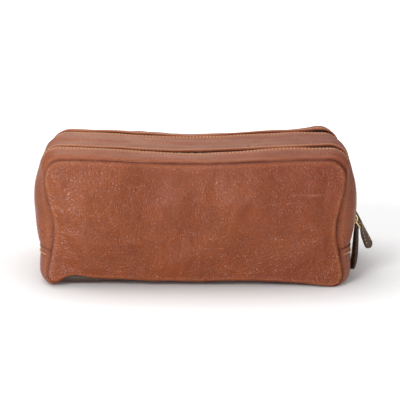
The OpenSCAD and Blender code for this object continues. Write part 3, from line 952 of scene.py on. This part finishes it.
    def panel(self, node: str, side: int) -> None:
        """Make a front or back panel: a bellied sheet with turned edges, settled by cloth.

        Args:
            node: The CAD node that the panel stands for.
            side: -1 for the front, 1 for the back.
        """
        sides = self.panel_sides()
        ring_q = np.concatenate([q[:-1] for q in sides])
        rings = np.stack([self.outline(ring_q, inset) for inset, _ in PANEL_EDGE])
        grid = self.panel_grid(sides)
        count, (rows, cols) = len(ring_q), grid.shape[:2]
        flat = np.concatenate([rings.reshape(-1, 2), grid.reshape(-1, 2)])
        inward = np.concatenate([np.repeat(PANEL_EDGE[:, 0], count),
                                 np.full(rows * cols, PANEL_INSET)])
        sunk = np.concatenate([np.repeat(PANEL_EDGE[:, 1], count), np.zeros(rows * cols)])
        x, z = flat[:, 0], flat[:, 1]
        points = np.stack([x, side * (self.skin.half_d - sunk + self.belly(x, z)), z], axis=-1)
        base = len(PANEL_EDGE) * count
        faces = loop_faces(len(PANEL_EDGE), count, True)
        faces += [tuple(base + i for i in quad) for quad in loop_faces(rows, cols, False)]
        piece = new_object(node + "_leather", self.skin.pressed(points), faces)
        # Wear with a painted highlight on the rim's ridge, and painted shade in its turned edge
        for name, levels in zip(("rub", "shade"), wear_highlight_and_shade(sunk)):
            store(piece, name, levels)
        held = piece.vertex_groups.new(name="held")
        for start, end, weight in HELD_BANDS:
            rim = np.nonzero((inward >= start) & (inward < end))[0]
            held.add([int(index) for index in rim], weight, "REPLACE")
        tidy_mesh(piece)
        self.face_outwards(piece, side)
        self.settle(piece)
        self.pucker_panel(piece, side)
        wall = piece.modifiers.new("wall", "SOLIDIFY")
        wall.thickness = self.wall * MM
        wall.offset = -1.0
        apply_modifiers(piece)
        finish_piece(piece, self.finish, "tan_leather", "bag", node)

    def belly(self, x: Grid, z: Grid) -> Grid:
        """Return how far the stuffed panel stands out at a place."""
        middle = self.skin.height / 2 - 1.0
        s = np.clip(np.abs(x) / self.skin.seam_w, 0.0, 1.0)
        t = np.clip(np.abs(z - middle) / (self.skin.height / 2 - 3.0), 0.0, 1.0)
        return self.puff * (1.0 - s ** 2.6) * (1.0 - t ** 2.6)

    def face_outwards(self, piece: bpy.types.Object, side: int) -> None:
        """Turn an open sheet so that its faces look away from the bag."""
        toward = sum(p.normal.y * p.area for p in piece.data.polygons)
        if toward * side < 0:
            piece.data.flip_normals()

    def settle(self, piece: bpy.types.Object) -> None:
        """Let a panel swell and wrinkle as cloth under light pressure, with its rim held."""
        before = read_points(piece)
        cloth = piece.modifiers.new("cloth", "CLOTH")
        for name, value in CLOTH.items():
            setattr(cloth.settings, name, value)
        cloth.settings.effector_weights.gravity = 0.0
        cloth.point_cache.frame_start = 1
        cloth.point_cache.frame_end = CLOTH_FRAMES
        scene = bpy.context.scene
        for step in range(1, CLOTH_FRAMES + 1):
            scene.frame_set(step)
        apply_modifiers(piece)
        scene.frame_set(1)
        moved = read_points(piece) - before
        size = np.linalg.norm(moved, axis=1, keepdims=True)
        move_points(piece, before + moved * np.minimum(1.0, CLOTH_CAP / np.maximum(size, MM)))
        LOG.info("%s: cloth moved up to %.1f mm", piece.name, float(size.max()))

    def pucker_panel(self, piece: bpy.types.Object, side: int) -> None:
        """Add the small ripples that the turned seam pulls into a panel."""
        points = read_points(piece)
        middle = np.array([0.0, 0.0, self.skin.height / 2])
        reach = np.array([self.skin.seam_w, 1.0, self.skin.height / 2 - 3.0])
        away = np.abs((points - middle) / reach)
        rim = np.clip(np.maximum(away[:, 0], away[:, 2]), 0.0, 1.0)
        flat = points * np.array([1.0, 0.0, 1.0])
        soft = ripple(flat, 30.0, 2.0 + side) * 0.9 + ripple(flat, 13.0, 5.0 + side) * 0.35
        tight = ripple(flat * np.array([1.0, 1.0, 0.45]), 7.0, 11.0) * rim ** 6 * 0.5
        points[:, 1] += side * (soft * (1.0 - rim ** 8) + tight)
        move_points(piece, points)

# ---------------------------------------------------------------- stitching

@dataclass
class Stitching:
    """Rows of lock stitch, each stitch a short plump length of thread."""

    skin: BagSkin
    finish: Finish
    length: float = 2.05
    radius: float = 0.50
    seam_drop: float = 2.4
    seam_lift: float = 0.62
    zip_lift: float = 0.30
    droop: float = 0.18

    def template(self) -> tuple[Grid, list[tuple[int, ...]]]:
        """Model one stitch along X and return its points in millimetres and its faces."""
        deselect()
        bpy.ops.mesh.primitive_uv_sphere_add(segments=8, ring_count=6, radius=1.0)
        stitch = bpy.context.object
        bpy.ops.object.mode_set(mode="EDIT")
        bpy.ops.mesh.select_all(action="SELECT")
        bpy.ops.transform.resize(value=(self.length / 2, self.radius, self.radius))
        bpy.ops.object.mode_set(mode="OBJECT")
        points = np.array([tuple(v.co) for v in stitch.data.vertices])
        faces = [tuple(p.vertices) for p in stitch.data.polygons]
        bpy.data.objects.remove(stitch)
        points, faces = in_order(points, faces)
        points[:, 2] -= self.droop * (points[:, 0] / (self.length / 2)) ** 2
        return points, faces

    def rows(self, name: str, lines: Iterable[tuple[Grid, Grid]], body: str) -> None:
        """Sew stitches along lines.

        Args:
            name: The piece's name.
            lines: Pairs of points along each line and the outward direction at each point.
            body: The body that carries them.
        """
        template, faces = self.template()
        verts, polys = [], []
        for points, normals in lines:
            lengths = np.linalg.norm(np.diff(points, axis=0), axis=1)
            run = np.concatenate([[0.0], np.cumsum(lengths)])
            for k in range(int(run[-1] / STITCH_PITCH)):
                place = (k + 0.5) * STITCH_PITCH
                before, after, up = (
                    np.array([np.interp(at, run, source[:, a]) for a in range(3)])
                    for at, source in ((place - 1.0, points), (place + 1.0, points),
                                       (place, normals)))
                along = (after - before) / np.linalg.norm(after - before)
                up -= along * np.dot(up, along)
                up /= np.linalg.norm(up)
                turn = np.stack([along, np.cross(up, along), up], axis=1)
                start = len(verts) * len(template)
                verts.append(template @ turn.T + (before + after) / 2)
                polys += [tuple(start + i for i in face) for face in faces]
        piece = new_object(name, np.concatenate(verts), polys)
        finish_piece(piece, self.finish, "tan_leather", body)

    def line(self, q: Grid, y: Grid, lift: float) -> tuple[Grid, Grid]:
        """Return points that follow the leather, and the outward direction at each."""
        v, below = y / self.skin.band_half, self.skin.relief(q, y) - lift
        points = self.skin.point(q, v, below)
        return points, self.skin.point(q, v, below - 1.0) - points

    def zip_line(self, y: float) -> tuple[Grid, Grid]:
        """Return a line along a lip."""
        q = np.linspace(-0.985, 0.985, 700)
        return self.line(q, np.full_like(q, y), self.zip_lift)

    def end_line(self, side: int) -> tuple[Grid, Grid]:
        """Return a line just below a side seam."""
        half = self.skin.band_half - 3.0
        y = np.linspace(-half, half, 80)
        drop = self.seam_drop / self.skin.run_len
        q = np.full_like(y, 1.0 + drop if side > 0 else 3.0 - drop)
        return self.line(q, y, self.seam_lift)

    def build(self) -> None:
        """Sew the zip lips and the side seams."""
        lips = [self.zip_line(y) for y in self.skin.stitch_rows()]
        self.rows("zip_lip_stitches", lips, "bag")
        self.rows("side_seam_stitches", [self.end_line(side) for side in (-1, 1)], "bag")

# ---------------------------------------------------------------- zip pulls

# The strip's centre line as x, z and twist in degrees: the splayed tail down from its free end,
# the twist of each point of the fold, and the hanging tail
SPLAYED = ((9.9, -18.6, 44.0), (7.3, -13.2, 40.0), (4.7, -7.8, 33.0), (2.9, -3.2, 22.0))
FOLD_TWIST = (12.0, 6.0, 2.0, 0.0, 0.0, 0.0, 2.0)
HANGING = ((-2.12, -4.0, 5.0), (-2.25, -10.0, 10.0), (-2.45, -18.0, 13.0),
           (-2.7, -26.0, 14.0), (-3.6, -32.0, 14.0), (-5.2, -37.0, 12.0))

@dataclass
class ZipPull:
    """A leather strip folded through the ring, with two rounded tails and edge stitching."""

    end: str
    finish: Finish
    thread: Finish
    width: float = 9.0
    thickness: float = 2.0
    fold_r: float = 2.05
    fold_start: float = 0.05
    stitch_inset: float = 1.5
    stitch_length: float = 1.9
    stitch_radius: float = 0.26
    paint_w: float = 0.8
    edge_r: float = 0.45
    cuts: int = 64

    def build(self) -> None:
        """Model, dress and place the strip and its stitches."""
        guide, length = self.guide()
        body, node = f"{self.end}_pull_body", f"{self.end}_leather_pull"
        strap = self.strip(length)
        self.bend(strap, guide)
        finish_piece(strap, self.finish, "dark_leather", body, node)
        seam = self.stitches(length)
        self.bend(seam, guide)
        finish_piece(seam, self.thread, "dark_leather", body)
        bpy.data.objects.remove(guide)

    def bar_centre(self) -> Grid:
        """Return the middle of the ring's lower bar in millimetres."""
        joint = next(j for j in frame["joints"] if j["name"] == f"{self.end}_pull_swing")
        return np.array(joint["pos_m"]) / MM

    def route(self) -> list[Triple]:
        """Return the strip's centre line round the bar as x, z and twist in degrees."""
        angles = np.linspace(self.fold_start, math.pi - self.fold_start, len(FOLD_TWIST))
        fold = [(self.fold_r * math.cos(angle), self.fold_r * math.sin(angle), turn)
                for angle, turn in zip(angles, FOLD_TWIST)]
        return [*SPLAYED, *fold, *HANGING]

    def guide(self) -> tuple[bpy.types.Object, float]:
        """Draw the strip's route as a curve and return it with its length in millimetres."""
        route = self.route()
        side = -1.0 if self.end == "front" else 1.0
        bar = self.bar_centre()
        curve = bpy.data.curves.new("route", "CURVE")
        curve.dimensions = "3D"
        curve.twist_mode = "Z_UP"
        spline = curve.splines.new("NURBS")
        spline.points.add(len(route) - 1)
        for point, (x, z, turn) in zip(spline.points, route):
            point.co = (*[float(c) * MM for c in bar + np.array((x, 0.0, z))], 1.0)
            point.tilt = math.radians(turn * side)
        spline.order_u = 4
        spline.use_endpoint_u = True
        spline.resolution_u = 12
        return link("route", curve), spline.calc_length() / MM

    def strip(self, length: float) -> bpy.types.Object:
        """Model the strip flat with rounded tips and painted edges."""
        deselect()
        bpy.ops.mesh.primitive_cube_add(size=1.0, location=(length / 2 * MM, 0.0, 0.0),
                                        scale=(length * MM, self.width * MM, self.thickness * MM))
        strap = bpy.context.object
        strap.name = f"{self.end}_pull_strip"
        bpy.ops.object.transform_apply(location=True, rotation=True, scale=True)
        bpy.ops.object.mode_set(mode="EDIT")
        self.round_tips(strap)
        self.cut_along(length)
        bpy.ops.object.mode_set(mode="OBJECT")
        bevel = strap.modifiers.new("edges", "BEVEL")
        bevel.width = self.edge_r * MM
        bevel.segments = 3
        bevel.limit_method = "ANGLE"
        bevel.angle_limit = math.radians(50)
        apply_modifiers(strap)
        points = read_points(strap)
        tip = np.minimum(points[:, 0], length - points[:, 0])
        edge = np.minimum(self.width / 2 - np.abs(points[:, 1]), tip)
        on_face = np.abs(points[:, 2]) > self.thickness / 2 - 0.05
        store(strap, "rub", np.clip(edge / self.paint_w, 0.0, 1.0) * on_face)
        return strap

    def stitches(self, length: float) -> bpy.types.Object:
        """Model the two rows of stitches flat on both faces of the strip."""
        template, faces = Stitching(BagSkin(), self.thread, self.stitch_length,
                                    self.stitch_radius).template()
        verts, polys = [], []
        lip = self.width / 2 - self.stitch_inset
        level = self.thickness / 2 + 0.02
        for k in range(int((length - self.width) / STITCH_PITCH)):
            for across in (-lip, lip):
                for face in (-level, level):
                    start = len(verts) * len(template)
                    turned = template * np.array([1.0, 1.0, np.sign(face)])
                    verts.append(turned + np.array([6.0 + k * STITCH_PITCH, across, face]))
                    polys += [tuple(start + i for i in quad) for quad in faces]
        return new_object(f"{self.end}_pull_stitches", np.concatenate(verts), polys)

    def bend(self, piece: bpy.types.Object, guide: bpy.types.Object) -> None:
        """Bend a flat piece along the route."""
        bend = piece.modifiers.new("bend", "CURVE")
        bend.object = guide
        bend.deform_axis = "POS_X"
        apply_modifiers(piece)
        tidy_mesh(piece, 0.005)
        for polygon in piece.data.polygons:
            polygon.use_smooth = True

    def round_tips(self, strap: bpy.types.Object) -> None:
        """Round the four corners of the strip in plan."""
        work = bmesh.from_edit_mesh(strap.data)
        for edge in work.edges:
            tall = abs(edge.verts[0].co.z - edge.verts[1].co.z) > 0.5 * self.thickness * MM
            edge.select_set(tall)
        bmesh.update_edit_mesh(strap.data)
        bpy.ops.mesh.select_mode(type="EDGE")
        bpy.ops.mesh.bevel(offset=self.width * 0.46 * MM, segments=6, affect="EDGES")

    def cut_along(self, length: float) -> None:
        """Slice the strip across so that it can bend, and along its painted edges."""
        planes = [((length * i / self.cuts * MM, 0.0, 0.0), (1.0, 0.0, 0.0))
                  for i in range(1, self.cuts)]
        planes += [((0.0, side * (self.width / 2 - inset) * MM, 0.0), (0.0, 1.0, 0.0))
                   for inset in (self.paint_w, 2 * self.paint_w) for side in (-1.0, 1.0)]
        for place, normal in planes:
            bpy.ops.mesh.select_all(action="SELECT")
            bpy.ops.mesh.bisect(plane_co=place, plane_no=normal)

# ---------------------------------------------------------------- parts carried over from CAD

@dataclass
class Hardware:
    """The CAD nodes that keep their shape and take a better finish."""

    finishes: dict[str, Finish]

    def build(self) -> None:
        """Dress every CAD node by its material slot."""
        for part in frame["record"]["subparts"]:
            piece = frame["nodes"][part["node"]]
            finish = self.finishes[part["material_slot"]]
            piece.data.materials.clear()
            piece.data.materials.append(finish.material)
            LOG.info("%s: %s", piece.name, finish.name)

# ---------------------------------------------------------------- camera, light and floor

class Floor(Finish):
    """A white table top that stays white to the camera and keeps the bag's shadow."""

    name = "floor"
    white = (0.86, 0.86, 0.86)
    near_glow = 0.20
    far_glow = 0.90
    shadow_m = (0.068, 0.125)
    open_m = (0.22, 0.75)
    depth_share = 0.52

    def paint(self) -> None:
        """Set a pale colour, and a glow beyond the shadow that only the camera sees."""
        here = self.place((self.depth_share, 1.0, 1.0))
        away = self.add("ShaderNodeVectorMath", {"operation": "LENGTH"}, {0: here}, "Value")
        glow = (self.between(away, *self.shadow_m) * self.near_glow
                + self.between(away, *self.open_m) * (self.far_glow - self.near_glow))
        self.set(Base_Color=self.white, Roughness=1.0, Specular_IOR_Level=0.0,
                 Emission_Color=self.blend(glow, (0.0, 0.0, 0.0), (1.0, 1.0, 1.0)),
                 Emission_Strength=self.add("ShaderNodeLightPath", out="Is Camera Ray"))

    def between(self, value: Wire, low: float, high: float) -> Wire:
        """Return how far a value has come from low to high, from 0 to 1."""
        return ((value - low) * (1.0 / (high - low))).clamped()

class Surround(Finish):
    """An even pale surround, white to the camera and dimmer as a light."""

    name = "surround"
    level = 0.40

    def start(self) -> tuple[bpy.types.NodeTree, bpy.types.Node]:
        """Make the world and return its tree and background shader."""
        self.world = bpy.data.worlds.new(self.name)
        self.world.use_nodes = True
        return self.world.node_tree, self.world.node_tree.nodes["Background"]

    def paint(self) -> None:
        """Set a white whose strength depends on the kind of ray."""
        camera, through = (self.add("ShaderNodeLightPath", out=f"Is {kind} Ray")
                           for kind in ("Camera", "Transmission"))
        shown = self.add("ShaderNodeMix", {"data_type": "FLOAT"},
                         {"Factor": camera.larger(through), "A": self.level, "B": 1.0})
        self.set(Color=(1.0, 1.0, 1.0), Strength=shown)

@dataclass(frozen=True)
class Softbox:
    """A square lamp with a soft face, in metres and watts."""

    name: str
    at: Triple
    size: float
    watts: float
    target: Triple = (0.0, 0.0, 0.05)
    sheen_only: bool = False
    tint: Triple = (1.0, 1.0, 1.0)

    def build(self) -> None:
        """Hang the lamp and aim it."""
        light = bpy.data.lights.new(self.name, "AREA")
        light.shape = "SQUARE"
        light.size = self.size
        light.energy = self.watts
        light.color = self.tint
        lamp = link(self.name, light)
        lamp.location = self.at
        lamp.visible_diffuse = not self.sheen_only
        aim = Vector(self.target) - Vector(self.at)
        lamp.rotation_euler = aim.to_track_quat("-Z", "Y").to_euler()

@dataclass
class Studio:
    """The stage round the bag: floor, soft lights, surround and camera."""

    eye: Triple = (3.9, -891.6, 294.5)
    pitch: float = 14.92
    focal_px: float = 1088.5
    frame_px: float = 400.0
    lamps: tuple[Softbox, ...] = (
        Softbox("key_softbox", (-0.70, -1.15, 0.85), 0.45, 11.0),
        Softbox("top_softbox", (-0.25, 0.25, 1.30), 1.20, 11.0),
        Softbox("fill_softbox", (0.95, -1.10, 0.50), 0.90, 3.0),
        Softbox("glint_softbox", (-0.52, -1.05, 0.22), 0.22, 11.0, (-0.09, -0.06, 0.06), True),
        Softbox("sheen_softbox", (-0.25, 1.90, 0.85), 1.00, 3.6, (0.0, 0.0, 0.10), True,
                (1.0, 0.90, 0.72)),
    )

    def build(self) -> None:
        """Place the floor, lamps, surround and camera."""
        self.floor()
        for lamp in self.lamps:
            lamp.build()
        bpy.context.scene.world = Surround().world
        self.camera()
        bpy.context.scene.view_settings.view_transform = "Standard"

    def floor(self) -> None:
        """Add the floor."""
        deselect()
        bpy.ops.mesh.primitive_plane_add(size=14.0, location=(0.0, 0.0, 0.0))
        plane = bpy.context.object
        plane.name = "floor"
        plane.data.materials.append(Floor().material)

    def camera(self) -> None:
        """Put the camera at the catalogue viewpoint."""
        data = bpy.data.cameras.new("camera")
        data.sensor_width = 36.0
        data.lens = self.focal_px / self.frame_px * data.sensor_width
        data.clip_end = 50.0
        camera = link("camera", data)
        camera.location = [c * MM for c in self.eye]
        camera.rotation_euler = (math.radians(90.0 - self.pitch), 0.0, 0.0)
        bpy.context.scene.camera = camera

def main() -> None:
    """Build the bag's looks round the CAD frame."""
    skin = BagSkin(dents=DENTS)
    leather, dark, thread = PebbledLeather(), DarkLeather(), Thread()
    finishes = {"tan_leather": leather, "dark_leather": dark, "lining_cloth": LiningCloth(),
                "zip_tape": ZipTape(), "brass": Brass(), "stiffener": Stiffener()}
    Hardware(finishes).build()
    LeatherShell(skin, leather).build()
    Stitching(skin, thread).build()
    for end in ("front", "back"):
        ZipPull(end, dark, thread).build()
    Studio().build()

if __name__ == "__main__":
    main()
